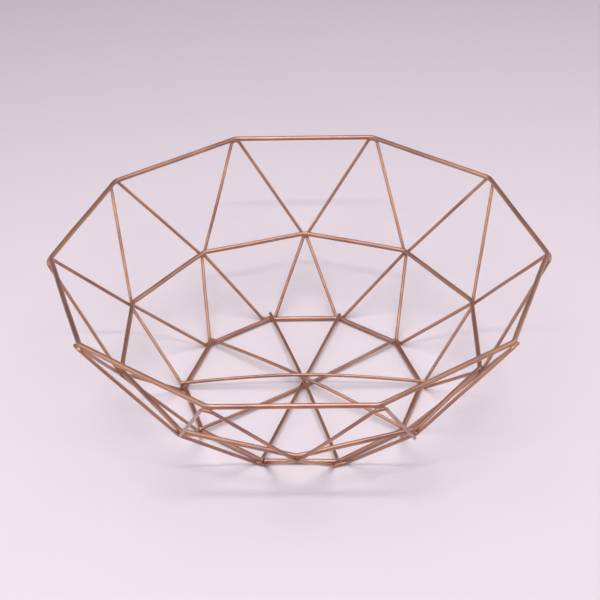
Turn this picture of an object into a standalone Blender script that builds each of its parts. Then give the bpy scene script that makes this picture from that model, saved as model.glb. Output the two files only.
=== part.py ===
"""Wire produce basket: three ten-cornered rings joined by bent wire braces, with crossed base spokes."""

import math

import bpy
from mathutils import Vector

OBJECT_NAME = "wire_produce_basket"

# Overall sizes, in metres. Ring radii run to the corners of the wire's centre line.
SIDES = 10
RIM_RADIUS = 0.140
RIM_HEIGHT = 0.0948
MIDDLE_RADIUS = 0.107
MIDDLE_HEIGHT = 0.0396
BASE_RADIUS = 0.0710

# Wire stock and bends.
RING_WIRE = 0.0028
STRUT_WIRE = 0.0020
RING_BEND = 0.0060
STRUT_BEND = 0.0026
GAP = 0.0003  # clearance where two wires meet

# Brace and spoke details.
RIM_FLAT = 0.0060  # straight run of an upper brace under its rim corner
BASE_FLAT = 0.0090  # straight run of a lower brace outside its base corner
RIM_TUCK = math.radians(60)  # how far the rim flat sits round below the ring
LEG_OVERRUN = 0.0010  # upper legs run this far past the middle ring
SPOKE_OVERRUN = 0.0030  # spokes run this far past the base ring

# Wire sections.
RING_FACETS = 12
STRUT_FACETS = 8
BEND_STEPS = 4
SPOKE_STEPS = 8

STEP = 2 * math.pi / SIDES
LAP = RING_WIRE / 2 + STRUT_WIRE / 2 + GAP  # ring centre to the centre of a wire laid on it
PITCH = STRUT_WIRE + GAP  # one strut laid on another
BASE_HEIGHT = RING_WIRE / 2 * math.cos(math.pi / RING_FACETS)  # a facet lies on the table
FIRST_CORNER = math.pi / 2 + STEP / 2
UP = Vector((0, 0, 1))

COPPER = (0.62, 0.30, 0.17, 1.0)
COPPER_DARK = (0.50, 0.23, 0.13, 1.0)


def clear_scene():
    for obj in list(bpy.data.objects):
        bpy.data.objects.remove(obj, do_unlink=True)


def radial(angle):
    return Vector((math.cos(angle), math.sin(angle), 0))


def tangent(angle):
    return Vector((-math.sin(angle), math.cos(angle), 0))


def place(angle, radius, height, side=0.0):
    """A point out along angle, then sideways along the ring."""
    return radial(angle) * radius + tangent(angle) * side + UP * height


def without_side(direction, angle):
    """The direction with its part along the ring at angle taken out."""
    return direction - tangent(angle) * direction.dot(tangent(angle))


def corner_cut(bend, turn):
    """How far rounding a corner pulls the wire in from the sharp corner."""
    return bend * (1 / math.cos(turn / 2) - 1)


def rounded(points, bend, cyclic=False):
    """The polyline with each inner corner turned into an arc of radius bend."""
    path = []
    count = len(points)
    for i, here in enumerate(points):
        if not cyclic and i in (0, count - 1):
            path.append(here)
            continue
        back = (points[i - 1] - here).normalized()
        ahead = (points[(i + 1) % count] - here).normalized()
        turn = math.pi - back.angle(ahead)
        reach = bend * math.tan(turn / 2)
        centre = here + (back + ahead).normalized() * (bend / math.cos(turn / 2))
        first = here + back * reach - centre
        last = here + ahead * reach - centre
        for k in range(BEND_STEPS + 1):
            share = k / BEND_STEPS
            arm = (
                first * math.sin((1 - share) * turn) + last * math.sin(share * turn)
            ) / math.sin(turn)
            path.append(centre + arm)
    return path


def coated_metal(name, colour):
    mat = bpy.data.materials.new(name)
    mat.use_nodes = True
    shader = mat.node_tree.nodes["Principled BSDF"]
    shader.inputs["Base Color"].default_value = colour
    shader.inputs["Metallic"].default_value = 1.0
    shader.inputs["Roughness"].default_value = 0.34
    mat.diffuse_color = colour
    return mat


def wire(collection, name, path, thickness, facets, colour, cyclic=False):
    """A round wire swept along path, with filled ends and a facet facing straight down."""
    curve = bpy.data.curves.new(name, "CURVE")
    curve.dimensions = "3D"
    curve.twist_mode = "Z_UP"
    curve.bevel_mode = "ROUND"
    curve.bevel_depth = thickness / 2
    curve.bevel_resolution = facets // 2 - 2
    curve.fill_mode = "FULL"
    curve.use_fill_caps = not cyclic
    spline = curve.splines.new("POLY")
    spline.points.add(len(path) - 1)
    for point, place_at in zip(spline.points, path):
        point.co = (*place_at, 1.0)
        point.tilt = math.pi / facets
    spline.use_cyclic_u = cyclic
    obj = bpy.data.objects.new(name, curve)
    obj.data.materials.append(coated_metal(name + "_finish", colour))
    collection.objects.link(obj)
    return obj


def ring(collection, name, radius, height, first):
    corners = [place(first - i * STEP, radius, height) for i in range(SIDES)]
    path = rounded(corners, RING_BEND, cyclic=True)
    wire(collection, name, path, RING_WIRE, RING_FACETS, COPPER, cyclic=True)


def upper_leg(angle, way):
    """Where a leg of the upper brace at angle bends and ends, and the direction it runs down in."""
    reach = RIM_RADIUS - corner_cut(RING_BEND, STEP) + LAP * math.cos(RIM_TUCK)
    bend = place(angle, reach, RIM_HEIGHT - LAP * math.sin(RIM_TUCK), way * RIM_FLAT / 2)
    lean = math.atan2(RIM_RADIUS - MIDDLE_RADIUS, RIM_HEIGHT - MIDDLE_HEIGHT)
    joint = angle + way * STEP / 2
    out = MIDDLE_RADIUS - corner_cut(RING_BEND, STEP) + LAP * math.cos(lean)
    crossing = place(joint, out, MIDDLE_HEIGHT - LAP * math.sin(lean), -way * PITCH / 2)
    run = (crossing - bend).normalized()
    # The overrun stays in line with the corner, so that two legs' cut ends sit side by side.
    return bend, crossing + without_side(run, joint) * LEG_OVERRUN, run


def upper_brace(collection, number, angle):
    """A wire bent over below a rim corner, with a leg to the middle ring on either side."""
    first_bend, first_end, _ = upper_leg(angle, -1)
    last_bend, last_end, _ = upper_leg(angle, 1)
    path = rounded([first_end, first_bend, last_bend, last_end], STRUT_BEND)
    name = f"upper_brace_{number:02d}"
    wire(collection, name, path, STRUT_WIRE, STRUT_FACETS, COPPER_DARK)


def lower_brace(collection, number, angle):
    """A wire bent round outside a base corner, with legs up to the cut ends of the upper brace's legs."""
    reach = BASE_RADIUS - corner_cut(RING_BEND, STEP) + LAP
    ends, bends = [], []
    for way in (-1, 1):
        bend = place(angle, reach, BASE_HEIGHT, way * BASE_FLAT / 2)
        _, above, run = upper_leg(angle, way)
        drop = without_side(run, angle + way * STEP / 2)
        spread = STRUT_WIRE / 2 * math.sin(run.angle(bend - above))
        ends.append(above + drop * ((GAP + spread) / drop.length_squared))
        bends.append(bend)
    path = rounded([ends[0], bends[0], bends[1], ends[1]], STRUT_BEND)
    name = f"lower_brace_{number:02d}"
    wire(collection, name, path, STRUT_WIRE, STRUT_FACETS, COPPER_DARK)


def base_spoke(collection, number, angle, level):
    """A wire laid right across the base ring, bowed to its level in the stack at the centre."""
    rest = BASE_HEIGHT + LAP
    crown = STRUT_WIRE / 2 + GAP + level * PITCH
    path = []
    for k in range(-SPOKE_STEPS, SPOKE_STEPS + 1):
        share = k / SPOKE_STEPS
        settle = 1.5 * share**2 - 0.5 * abs(share) ** 3
        height = crown + (rest - crown) * settle
        path.append(place(angle, share * BASE_RADIUS, height))
    tail = radial(angle) * SPOKE_OVERRUN
    path = [path[0] - tail, *path, path[-1] + tail]
    name = f"base_spoke_{number}"
    wire(collection, name, path, STRUT_WIRE, STRUT_FACETS, COPPER_DARK)


def build():
    clear_scene()
    collection = bpy.data.collections.new(OBJECT_NAME)
    bpy.context.scene.collection.children.link(collection)
    ring(collection, "rim_ring", RIM_RADIUS, RIM_HEIGHT, FIRST_CORNER)
    middle_first = FIRST_CORNER - STEP / 2
    ring(collection, "middle_ring", MIDDLE_RADIUS, MIDDLE_HEIGHT, middle_first)
    ring(collection, "base_ring", BASE_RADIUS, BASE_HEIGHT, FIRST_CORNER)
    for i in range(SIDES):
        angle = FIRST_CORNER - i * STEP
        upper_brace(collection, i + 1, angle)
        lower_brace(collection, i + 1, angle)
    # The spoke that runs left to right lies on top; each one below it is turned one corner on.
    spokes = SIDES // 2
    for k in range(spokes):
        base_spoke(collection, k + 1, -k * STEP, spokes - 1 - k)


build()
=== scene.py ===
import math
import random

import bmesh
import bpy
from mathutils import Matrix, Vector, noise


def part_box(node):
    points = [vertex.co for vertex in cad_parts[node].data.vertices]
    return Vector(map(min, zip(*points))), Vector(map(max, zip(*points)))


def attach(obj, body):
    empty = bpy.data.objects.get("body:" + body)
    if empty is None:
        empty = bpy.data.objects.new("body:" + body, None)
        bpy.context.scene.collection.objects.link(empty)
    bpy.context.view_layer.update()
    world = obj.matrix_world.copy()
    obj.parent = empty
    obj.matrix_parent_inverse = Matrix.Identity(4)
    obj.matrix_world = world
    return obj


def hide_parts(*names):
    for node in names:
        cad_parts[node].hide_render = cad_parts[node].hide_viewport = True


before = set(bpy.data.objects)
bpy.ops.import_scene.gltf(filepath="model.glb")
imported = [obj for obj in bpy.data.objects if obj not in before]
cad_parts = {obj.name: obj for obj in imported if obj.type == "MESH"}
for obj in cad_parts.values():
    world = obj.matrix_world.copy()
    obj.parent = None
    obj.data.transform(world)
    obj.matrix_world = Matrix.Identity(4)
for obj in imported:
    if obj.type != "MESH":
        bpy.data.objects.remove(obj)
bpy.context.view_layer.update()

mm = 0.001
sides = 10
step = 2 * math.pi / sides
firstCorner = math.pi / 2 + step / 2
up = Vector((0, 0, 1))
chance = random.Random(7)  # seeded, so every run is the same
noise.seed_set(7)  # unseeded, the noise starts from the clock
print("frame loaded:", len(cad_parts), "plain wires")


def outward(angle):
    return Vector((math.cos(angle), math.sin(angle), 0))


def along(angle):
    return Vector((-math.sin(angle), math.cos(angle), 0))


def spot(angle, radius, height, side=0.0):
    return outward(angle) * radius + along(angle) * side + up * height


def slop(most):
    return chance.uniform(-most, most)


def withoutSide(direction, angle):
    return direction - along(angle) * direction.dot(along(angle))


def bent(corners, radius, closed=False, steps=10):
    # each inner corner becomes an arc, as wire bent round a pin
    path = []
    count = len(corners)
    for i, here in enumerate(corners):
        if not closed and i in (0, count - 1):
            path.append(here.copy())
            continue
        back = (corners[i - 1] - here).normalized()
        ahead = (corners[(i + 1) % count] - here).normalized()
        turn = math.pi - back.angle(ahead)
        if turn < 1e-4:
            path.append(here.copy())
            continue
        reach = radius * math.tan(turn / 2)
        centre = here + (back + ahead).normalized() * (radius / math.cos(turn / 2))
        first = here + back * reach - centre
        last = here + ahead * reach - centre
        for k in range(steps + 1):
            s = k / steps
            arm = first * math.sin((1 - s) * turn) + last * math.sin(s * turn)
            path.append(centre + arm / math.sin(turn))
    return path


def filled(path, spacing, closed=False):
    # extra points along the straight runs, so that they can wander a little
    out = []
    count = len(path)
    for i in range(count if closed else count - 1):
        a, b = path[i], path[(i + 1) % count]
        n = max(1, round((b - a).length / spacing))
        out += [a.lerp(b, k / n) for k in range(n)]
    if not closed:
        out.append(path[-1].copy())
    return out


def wandering(path, amount, seed):
    # hand-straightened wire is never quite straight: a slow drift of a fraction of a millimetre
    apart = Vector((3.1, 1.7, 0.9)) * seed  # each wire reads its own part of the noise
    out = []
    for p in path:
        q = p * wireStock["wanderScale"] + apart
        out.append(p + noise.noise_vector(q) * amount)
    return out


wireStock = {
    "ring": 2.8 * mm,
    "brace": 2.0 * mm,
    "facets": 24,  # sides of the round section
    "press": 0.12 * mm,  # how far a spot weld sinks one wire into the other
    "wander": 0.22 * mm,
    "wanderScale": 28,  # how quickly the drift changes along the wire, in turns of noise to the metre
    "chamfer": 0.14 * mm,  # rounding left on a sheared end
    "shearTilt": math.radians(9),
    "shearCrown": 0.03 * mm,  # how far the middle of a cut face stands proud
    "pointSpacing": 4 * mm,
}
ringR = wireStock["ring"] / 2
braceR = wireStock["brace"] / 2
lap = ringR + braceR - wireStock["press"]
pile = wireStock["brace"] - wireStock["press"]


def tubeRows(path, radius, closed, facets):
    # frames carried along the path without twist, one row of points for each
    count = len(path)
    runs = []
    for i in range(count):
        if closed:
            runs.append((path[(i + 1) % count] - path[i - 1]).normalized())
        else:
            runs.append((path[min(i + 1, count - 1)] - path[max(i - 1, 0)]).normalized())
    side = runs[0].cross(up)
    side = side.normalized() if side.length > 0.1 else Vector((1, 0, 0))
    sidesAt = [side]
    for i in range(1, count):
        s = sidesAt[-1] - runs[i] * sidesAt[-1].dot(runs[i])
        sidesAt.append(s.normalized())
    spare = 0.0
    if closed:  # what the frame has turned by the time it comes back
        last = sidesAt[-1] - runs[0] * sidesAt[-1].dot(runs[0])
        spare = math.atan2(last.normalized().cross(sidesAt[0]).dot(runs[0]), last.dot(sidesAt[0]))
    rows = []
    for i in range(count):
        turn = spare * i / count
        a = sidesAt[i]
        b = runs[i].cross(a)
        row = []
        for k in range(facets):
            t = 2 * math.pi * k / facets + turn
            row.append(path[i] + (a * math.cos(t) + b * math.sin(t)) * radius)
        rows.append(row)
    return rows, runs


def wirePiece(name, path, radius, closed=False, facets=None, rawEnds=True):
    facets = facets or wireStock["facets"]
    rows, runs = tubeRows(path, radius, closed, facets)
    bm = bmesh.new()
    made = [[bm.verts.new(p) for p in row] for row in rows]
    count = len(made)
    for i in range(count if closed else count - 1):
        a, b = made[i], made[(i + 1) % count]
        for k in range(facets):
            n = (k + 1) % facets
            bm.faces.new((a[k], a[n], b[n], b[k]))
    if not closed:
        for end, way in ((0, -1), (-1, 1)):
            run = runs[end] * way
            centre = path[end]
            cut = wireStock["chamfer"] if rawEnds else radius * 0.3
            lean = math.tan(wireStock["shearTilt"]) if rawEnds else 0.0
            across = (rows[end][0] - centre).normalized()
            inner = []
            for p in rows[end]:
                arm = p - centre
                q = centre + arm * (1 - cut / radius)
                inner.append(bm.verts.new(q + run * (cut + arm.dot(across) * lean)))
            ring = made[end]
            for k in range(facets):
                n = (k + 1) % facets
                face = (ring[k], ring[n], inner[n], inner[k])
                bm.faces.new(face if way > 0 else face[::-1])
            tip = bm.verts.new(centre + run * (cut + wireStock["shearCrown"]))
            for k in range(facets):
                n = (k + 1) % facets
                face = (inner[k], inner[n], tip)
                bm.faces.new(face if way > 0 else face[::-1])
    bmesh.ops.recalc_face_normals(bm, faces=bm.faces)
    mesh = bpy.data.meshes.new(name)
    bm.to_mesh(mesh)
    bm.free()
    mesh.shade_smooth()
    mesh.set_sharp_from_angle(angle=math.radians(50))
    obj = bpy.data.objects.new(name, mesh)
    bpy.context.scene.collection.objects.link(obj)
    return obj


ringShape = {
    "bend": 6.0 * mm,
    "cornerSlop": 0.7 * mm,  # a bend made by hand misses a true decagon's corner by up to this, each way
}
cornerCut = ringShape["bend"] * (1 / math.cos(step / 2) - 1)


def ringCorners(node, cornerAxis, first):
    low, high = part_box(node)
    radius = (high[cornerAxis] - low[cornerAxis]) / 2 - ringR + cornerCut
    height = max((high.z + low.z) / 2, ringR)
    miss = ringShape["cornerSlop"]
    corners = []
    for i in range(sides):
        angle = first - i * step
        corners.append(spot(angle, radius + slop(miss), height, slop(miss)))
    return corners


rimCorners = ringCorners("rim_ring", 0, firstCorner)
middleCorners = ringCorners("middle_ring", 1, firstCorner - step / 2)
baseCorners = ringCorners("base_ring", 0, firstCorner)


def ringPath(corners, seed):
    path = bent(corners, ringShape["bend"], closed=True)
    path = filled(path, wireStock["pointSpacing"], closed=True)
    return wandering(path, wireStock["wander"], seed)


paths = {
    "rim_ring": ringPath(rimCorners, 1),
    "middle_ring": ringPath(middleCorners, 2),
    "base_ring": [Vector((p.x, p.y, ringR)) for p in ringPath(baseCorners, 3)],
}


def cornerBend(corners, i):
    # where the bent wire really passes, with the way out of the corner there
    here = corners[i % sides]
    angle = math.atan2(here.y, here.x)
    return here - outward(angle) * cornerCut, angle


braceShape = {
    "bend": 2.6 * mm,
    "rimFlat": (3.5, 5.5, 6, 6, 6, 6, 6, 6, 6, 5),  # mm, as each corner was bent
    "baseFlat": (8.5, 4.5, 4.5, 5, 6, 8, 7, 6, 5.5, 4),  # mm, as each corner was bent
    # degrees that each rim flat sits round below the ring
    "rimTuck": (60, 58, 55, 50, 36, 55, 55, 36, 50, 55),
    "overrun": 1.0 * mm,
    "overrunSlop": 0.9 * mm,
    "longEnd": (5, 1, 2.6 * mm),  # the leg that was cut long: its corner, its side, how much more
    "flatSlop": 0.5 * mm,
    "crossingGap": 0.44,  # how far each leg crosses aside of the joint, as a share of two piled wires
    "footLap": 0.98,  # how closely the base flat lies to the ring
    "topDrop": 0.9,  # how far below the upper leg's end the lower one stops, in brace radii
    "topAside": 0.1 * mm,
    "holdLength": 12 * mm,  # the drift fades in over this much at each end
}


def upperLeg(i, way):
    # from the flat under rim corner i down to one of its two joints on the middle ring
    here, angle = cornerBend(rimCorners, i)
    tuck = math.radians(braceShape["rimTuck"][i])
    flat = here + outward(angle) * lap * math.cos(tuck) - up * lap * math.sin(tuck)
    bend = flat + along(angle) * way * braceShape["rimFlat"][i] / 2 * mm
    joint, jointAngle = cornerBend(middleCorners, i if way < 0 else i - 1)
    lean = math.atan2((here - joint).dot(outward(jointAngle)), here.z - joint.z)
    crossing = joint + outward(jointAngle) * lap * math.cos(lean) - up * lap * math.sin(lean)
    crossing -= along(jointAngle) * way * pile * braceShape["crossingGap"]
    run = (crossing - bend).normalized()
    return bend, crossing, run, jointAngle


def braceWander(path, seed):
    middle = wandering(path, wireStock["wander"], seed)
    out = []
    for k, p in enumerate(path):  # held at its ends, free between
        hold = min(1.0, min((p - path[0]).length, (p - path[-1]).length) / braceShape["holdLength"])
        out.append(p.lerp(middle[k], hold))
    return out


for i in range(sides):
    bends, ends, tops, feet = [], [], [], []
    here, angle = cornerBend(baseCorners, i)
    for way in (-1, 1):
        bend, crossing, run, jointAngle = upperLeg(i, way)
        more = braceShape["overrun"] + chance.uniform(0, braceShape["overrunSlop"])
        spare = braceShape["longEnd"][2] if (i, way) == braceShape["longEnd"][:2] else 0.0
        ends.append(crossing + withoutSide(run, jointAngle) * more - up * spare)
        bends.append(bend + along(math.atan2(bend.y, bend.x)) * slop(braceShape["flatSlop"]))
        foot = here + outward(angle) * lap * braceShape["footLap"]
        foot += along(angle) * way * braceShape["baseFlat"][i] / 2 * mm
        foot += along(angle) * slop(braceShape["flatSlop"])
        foot.z = braceR  # the flat stands on the table beside the ring
        above = crossing + withoutSide(run, jointAngle) * braceShape["overrun"]
        top = above + withoutSide(run, jointAngle) * braceR * braceShape["topDrop"]
        tops.append(top + along(jointAngle) * way * braceShape["topAside"])
        feet.append(foot)
    upper = bent([ends[0], bends[0], bends[1], ends[1]], braceShape["bend"])
    lower = bent([tops[0], feet[0], feet[1], tops[1]], braceShape["bend"])
    spacing = wireStock["pointSpacing"]
    paths[f"upper_brace_{i + 1:02d}"] = braceWander(filled(upper, spacing), 20 + i)
    paths[f"lower_brace_{i + 1:02d}"] = braceWander(filled(lower, spacing), 40 + i)

spokeShape = {
    # how far each end runs on past the ring, and how far aside of its corner it lies, in mm
    "past": (3, 1.2, 1.2, 2, 2, 1.6, 3, 2.2, 2, 2),
    "aside": (-1, -0.4, 0.4, 0, 0.6, -0.8, 0.6, 0.2, -0.6, -1.6),
    "lowest": 1.5 * mm,  # centre of the bottom wire where all of them cross
    "centreSlop": 1.1 * mm,  # the wires miss the exact centre by about this
}


def spokePath(k):
    # spoke k joins two opposite base corners, bowed to its place in the stack
    first = (3 + k) % sides
    ends = []
    for i in (first, first + sides // 2):
        here, angle = cornerBend(baseCorners, i)
        rest = here + up * lap + along(angle) * spokeShape["aside"][i % sides] * mm
        ends.append((rest, rest + outward(angle) * spokeShape["past"][i % sides] * mm))
    (a, tailA), (b, tailB) = ends
    level = sides // 2 - 1 - k
    crown = spokeShape["lowest"] + level * pile
    miss = up.cross((b - a).normalized()) * slop(spokeShape["centreSlop"])
    path = [tailA]
    n = 24
    for j in range(n + 1):
        s = j / n
        t = abs(2 * s - 1)
        settle = 1.5 * t**2 - 0.5 * t**3
        p = a.lerp(b, s) + miss * (1 - settle)
        p.z = crown + (a.z - crown) * settle
        path.append(p)
    path.append(tailB)
    return path


for k in range(sides // 2):
    paths[f"base_spoke_{k + 1}"] = spokePath(k)

wires = {}
for name, path in paths.items():
    ring = name.endswith("ring")
    wires[name] = wirePiece("wire_" + name, path, ringR if ring else braceR, closed=ring)
print("wires drawn:", len(wires))


weldShape = {
    "voxel": 0.24 * mm,
    "smoothing": 26,
    "inset": 0.03 * mm,  # keeps the stubs inside the wires, so that only the fillet shows
    "nugget": 0.55 * mm,
}


def nearPath(path, centre, reach, closed=False, stopShort=0.0):
    fine = filled(path, 0.5 * mm, closed)
    count = len(fine)
    at = min(range(count), key=lambda j: (fine[j] - centre).length)
    run = [fine[at]]
    for way in (1, -1):
        j = at
        while True:
            j += way
            if closed:
                j %= count
            elif j < 0 or j >= count:
                break
            if (fine[j] - centre).length > reach:
                break
            run.insert(0, fine[j]) if way < 0 else run.append(fine[j])
    if stopShort and not closed:
        for tip in (fine[0], fine[-1]):
            run = [p for p in run if (p - tip).length > stopShort] or run
    return run


def weldPiece(name, stubs, nuggets):
    bm = bmesh.new()
    for path, radius in stubs:
        if len(path) < 3:
            continue
        stub = wirePiece(name + "_stub", path, radius - weldShape["inset"], facets=14, rawEnds=False)
        bm.from_mesh(stub.data)
        mesh = stub.data
        bpy.data.objects.remove(stub)
        bpy.data.meshes.remove(mesh)
    for centre, size in nuggets:
        place = Matrix.Translation(centre) @ Matrix.Diagonal((*size, 1))
        bmesh.ops.create_icosphere(bm, subdivisions=3, radius=1, matrix=place)
    mesh = bpy.data.meshes.new(name)
    bm.to_mesh(mesh)
    bm.free()
    obj = bpy.data.objects.new(name, mesh)
    bpy.context.scene.collection.objects.link(obj)
    skin = obj.modifiers.new("skin", "REMESH")
    skin.mode = "VOXEL"
    skin.voxel_size = weldShape["voxel"]
    flow = obj.modifiers.new("flow", "SMOOTH")
    flow.factor = 0.5
    flow.iterations = weldShape["smoothing"]
    graph = bpy.context.evaluated_depsgraph_get()
    flowed = bpy.data.meshes.new_from_object(obj.evaluated_get(graph))
    obj.modifiers.clear()
    obj.data = flowed
    bpy.data.meshes.remove(mesh)
    flowed.shade_smooth()
    return obj


welds = {}
for i in range(sides):
    n = f"{i + 1:02d}"
    # rim: the flat of an upper brace under the ring's corner
    here, angle = cornerBend(rimCorners, i)
    tuck = math.radians(braceShape["rimTuck"][i])
    touch = here + (outward(angle) * math.cos(tuck) - up * math.sin(tuck)) * ringR
    stubs = [
        (nearPath(paths["rim_ring"], here, 6.5 * mm, closed=True), ringR),
        (nearPath(paths["upper_brace_" + n], touch, 4.6 * mm), braceR),
    ]
    size = weldShape["nugget"]
    bead = (size * 1.6, size * 1.6, size * 1.2)
    nuggets = [(touch + along(angle) * s * mm, bead) for s in (-1.5, 0, 1.5)]
    welds["rim_weld_" + n] = weldPiece("rim_weld_" + n, stubs, nuggets)
    # middle: legs of two upper and two lower braces on the ring
    here, angle = cornerBend(middleCorners, i)
    after = f"{(i + 1) % sides + 1:02d}"
    low = here + outward(angle) * lap * 0.62 - up * lap * 0.9
    stubs = [(nearPath(paths["middle_ring"], here, 5.2 * mm, closed=True), ringR)]
    for brace in ("upper_brace_" + n, "upper_brace_" + after):
        stubs.append((nearPath(paths[brace], here, 5.5 * mm, stopShort=0.5 * mm), braceR))
    for brace in ("lower_brace_" + n, "lower_brace_" + after):
        stubs.append((nearPath(paths[brace], here, 6.0 * mm, stopShort=0.2 * mm), braceR))
    nuggets = [(low, (size * 2.2, size * 2.2, size * 2.0))]
    welds["middle_weld_" + n] = weldPiece("middle_weld_" + n, stubs, nuggets)
    # base: the flat of a lower brace and the end of a spoke on the ring's corner
    here, angle = cornerBend(baseCorners, i)
    spoke = paths[f"base_spoke_{(i - 3) % (sides // 2) + 1}"]
    stubs = [
        (nearPath(paths["base_ring"], here, 6.5 * mm, closed=True), ringR),
        (nearPath(paths["lower_brace_" + n], here + outward(angle) * lap, 5.5 * mm), braceR),
        (nearPath(spoke, here + up * lap, 4.5 * mm, stopShort=0.4 * mm), braceR),
    ]
    beads = [
        (here + outward(angle) * ringR, (size * 1.6, size * 1.6, size)),
        (here + up * ringR, (size * 1.5, size * 1.5, size)),
    ]
    welds["base_weld_" + n] = weldPiece("base_weld_" + n, stubs, beads)

stubs = []
for k in range(sides // 2):
    spoke = paths[f"base_spoke_{k + 1}"]
    at = up * (spokeShape["lowest"] + (sides // 2 - 1 - k) * pile)
    stubs.append((nearPath(spoke, at, 5.5 * mm), braceR))
welds["centre_weld"] = weldPiece("centre_weld", stubs, [])
print("welds flowed:", len(welds))


def hexColour(text):
    out = []
    for k in (0, 2, 4):
        c = int(text[k:k + 2], 16) / 255
        out.append(c / 12.92 if c <= 0.04045 else ((c + 0.055) / 1.055) ** 2.4)
    return (*out, 1.0)


def addNode(tree, kind, links=(), **settings):
    # one node with its settings, and links given as (input, from node, output)
    node = tree.nodes.new(kind)
    for key, value in settings.items():
        if hasattr(node, key):
            setattr(node, key, value)
        else:
            node.inputs[key.replace("_", " ")].default_value = value
    for into, source, output in links:
        tree.links.new(source.outputs[output], node.inputs[into])
    return node


copperFinish = {
    "body": "b2826b",
    "warm": "bb8a69",
    "deep": "9d6c5e",
    "roughness": 0.37,
    "metallic": 0.92,
    "coat": 0.7,  # the clear lacquer over the pigment
    "coatRoughness": 0.3,
    "flakeMm": 0.5,  # real flake is far finer, and is drawn this coarse so that it shows
    "patchMm": 35.0,  # the spray lies thicker and thinner over about this length
    "smoother": 0.05,  # how far the flake takes the roughness down, and then up
    "rougher": 0.07,
}


def copperLacquer(name, darker=0.0, rough=0.0):
    # copper-pigmented lacquer sprayed over drawn steel wire: a soft satin gleam, redder where it lies thick
    f = copperFinish
    mat = bpy.data.materials.new(name)
    mat.use_nodes = True
    tree = mat.node_tree
    tree.nodes.clear()
    where = addNode(tree, "ShaderNodeTexCoord")
    onPiece = [("Vector", where, "Object")]
    patch = addNode(tree, "ShaderNodeTexNoise", onPiece, Scale=1000 / f["patchMm"], Detail=3.0)
    grain = addNode(tree, "ShaderNodeTexNoise", onPiece, Scale=1000 / f["flakeMm"], Detail=2.0)
    tone = addNode(tree, "ShaderNodeValToRGB", [("Fac", patch, "Fac")])
    tone.color_ramp.elements[0].position = 0.35
    tone.color_ramp.elements[0].color = hexColour(f["deep"])
    tone.color_ramp.elements[1].position = 0.65
    tone.color_ramp.elements[1].color = hexColour(f["warm"])
    mid = tone.color_ramp.elements.new(0.5)
    mid.color = hexColour(f["body"])
    shade = addNode(
        tree, "ShaderNodeHueSaturation", [("Color", tone, "Color")], Value=1.0 - darker, Saturation=1.0
    )
    sheen = addNode(
        tree, "ShaderNodeMapRange", [("Value", grain, "Fac")],
        From_Min=0.3, From_Max=0.7,
        To_Min=f["roughness"] - f["smoother"] + rough, To_Max=f["roughness"] + f["rougher"] + rough,
    )
    bump = addNode(tree, "ShaderNodeBump", [("Height", grain, "Fac")], Strength=0.25, Distance=0.02 * mm)
    shader = addNode(
        tree, "ShaderNodeBsdfPrincipled",
        [("Base Color", shade, "Color"), ("Roughness", sheen, "Result"), ("Normal", bump, "Normal")],
        Metallic=f["metallic"], Coat_Weight=f["coat"], Coat_Roughness=f["coatRoughness"],
    )
    addNode(tree, "ShaderNodeOutputMaterial", [("Surface", shader, "BSDF")])
    return mat


ringFinish = copperLacquer("copper_lacquer_ring")
braceFinish = copperLacquer("copper_lacquer_brace", darker=0.04)
weldFinish = copperLacquer("copper_lacquer_over_weld", darker=0.14, rough=0.08)


# everything rides on the one body, and each wire stands for its plain one
for name, piece in wires.items():
    kind = "ring_wire" if name.endswith("ring") else "brace_wire" if "brace" in name else "spoke_wire"
    piece.data.materials.append(ringFinish if kind == "ring_wire" else braceFinish)
    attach(piece, "root")
    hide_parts(name)
for name, piece in welds.items():
    piece.data.materials.append(weldFinish)
    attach(piece, "root")
print("pieces placed")


stageSet = {
    "floor": "ded3db",
    "reach": 6.0,
    "far": "e0d5dd",  # the paper keeps this tone where the lamps no longer reach
    "farGlow": 0.5,
    "farFrom": 0.6,
    "farTo": 1.6,
    "drop": 0.2 * mm,  # just below the wires, so that the two surfaces never coincide
}


def paleFloor():
    # matt paper, so that shadows stay soft and nothing mirrors
    mesh = bpy.data.meshes.new("paper_floor")
    h = stageSet["reach"]
    mesh.from_pydata([(-h, -h, 0), (h, -h, 0), (h, h, 0), (-h, h, 0)], [], [(0, 1, 2, 3)])
    floor = bpy.data.objects.new("paper_floor", mesh)
    bpy.context.scene.collection.objects.link(floor)
    mat = bpy.data.materials.new("matt_paper")
    mat.use_nodes = True
    tree = mat.node_tree
    shader = tree.nodes["Principled BSDF"]
    shader.inputs["Base Color"].default_value = hexColour(stageSet["floor"])
    shader.inputs["Roughness"].default_value = 0.9
    shader.inputs["Specular IOR Level"].default_value = 0.2
    shader.inputs["Emission Color"].default_value = hexColour(stageSet["far"])
    where = addNode(tree, "ShaderNodeTexCoord")
    away = addNode(tree, "ShaderNodeVectorMath", [(0, where, "Object")], operation="LENGTH")
    glow = addNode(
        tree, "ShaderNodeMapRange", [("Value", away, "Value")], interpolation_type="SMOOTHSTEP",
        From_Min=stageSet["farFrom"], From_Max=stageSet["farTo"], To_Min=0.0, To_Max=stageSet["farGlow"],
    )
    tree.links.new(glow.outputs["Result"], shader.inputs["Emission Strength"])
    mesh.materials.append(mat)
    floor.location.z = -stageSet["drop"]


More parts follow.
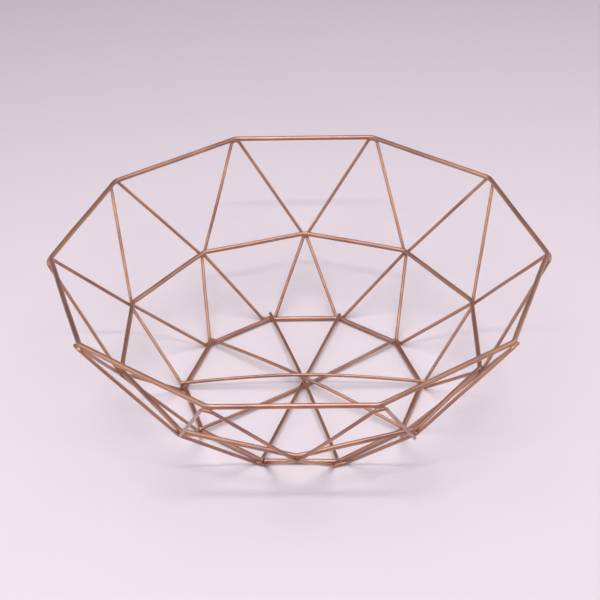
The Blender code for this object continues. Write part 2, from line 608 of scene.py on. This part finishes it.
lightSet = {
    # two strip lights run left to right, over the front and the back, and draw the long thin shadows
    "frontPower": 2.3, "frontSize": (0.5, 0.042), "frontAt": (0.0, -0.44, 0.815),
    "backPower": 0.25, "backSize": (0.4, 0.06), "backAt": (0.0, 0.19, 0.56),
    # pale cards at both sides and overhead give the wires something to mirror
    "leftPower": 1.7, "leftAt": (-0.62, -0.28, 0.45),
    "rightPower": 1.5, "rightAt": (0.7, 0.0, 0.45), "cardSize": (0.8, 0.5),
    "roofPower": 6.9, "roofSize": (1.08, 0.68), "roofAt": (0.0, -0.04, 1.2),
    # the air is dim overhead and pale low down, as pale walls round a table
    "air": "e6dfe6", "airStrength": 0.31, "wallStrength": 0.78, "wallFrom": 0.16, "wallTo": 0.42,
}


def softbox(name, power, size, at, aim):
    light = bpy.data.lights.new(name, "AREA")
    light.shape = "RECTANGLE"
    light.size, light.size_y = size
    light.energy = power
    obj = bpy.data.objects.new(name, light)
    obj.location = at
    obj.rotation_mode = "QUATERNION"
    obj.rotation_quaternion = (aim - Vector(at)).to_track_quat("-Z", "Y")
    obj.visible_camera = False
    bpy.context.scene.collection.objects.link(obj)


paleFloor()
lit = lightSet
middle = Vector((0, 0, 0.05))
softbox("front_strip", lit["frontPower"], lit["frontSize"], lit["frontAt"], middle)
softbox("back_strip", lit["backPower"], lit["backSize"], lit["backAt"], middle)
softbox("left_card", lit["leftPower"], lit["cardSize"], lit["leftAt"], middle)
softbox("right_card", lit["rightPower"], lit["cardSize"], lit["rightAt"], middle)
softbox("roof_card", lit["roofPower"], lit["roofSize"], lit["roofAt"], middle)
air = bpy.data.worlds.new("studio_air")
air.use_nodes = True
sky = air.node_tree
sky.nodes.clear()
way = addNode(sky, "ShaderNodeTexCoord")
part = addNode(sky, "ShaderNodeSeparateXYZ", [("Vector", way, "Generated")])
wall = addNode(
    sky, "ShaderNodeMapRange", [("Value", part, "Z")], interpolation_type="SMOOTHSTEP",
    From_Min=lit["wallFrom"], From_Max=lit["wallTo"], To_Min=lit["wallStrength"], To_Max=lit["airStrength"],
)
pale = addNode(sky, "ShaderNodeBackground", [("Strength", wall, "Result")], Color=hexColour(lit["air"]))
addNode(sky, "ShaderNodeOutputWorld", [("Surface", pale, "Background")])
bpy.context.scene.world = air

cameraSet = {
    "lens": 93.33, "away": 0.8919, "height": 64.1 * mm,
    "elevation": math.radians(35.5), "turn": math.radians(2.0), "roll": math.radians(-1.59),
}


def studioCamera():
    data = bpy.data.cameras.new("studio_camera")
    data.lens = cameraSet["lens"]
    data.sensor_width = 36
    data.clip_start = 0.05
    cam = bpy.data.objects.new("studio_camera", data)
    a, e = cameraSet["turn"], cameraSet["elevation"]
    back = Vector((math.sin(a) * math.cos(e), -math.cos(a) * math.cos(e), math.sin(e)))
    cam.location = Vector((0, 0, cameraSet["height"])) + back * cameraSet["away"]
    cam.rotation_mode = "QUATERNION"
    tip = Matrix.Rotation(cameraSet["roll"], 3, "Z").to_quaternion()
    cam.rotation_quaternion = (-back).to_track_quat("-Z", "Y") @ tip
    bpy.context.scene.collection.objects.link(cam)
    bpy.context.scene.camera = cam


studioCamera()
bpy.context.scene.view_settings.view_transform = "Standard"
print("stage set")
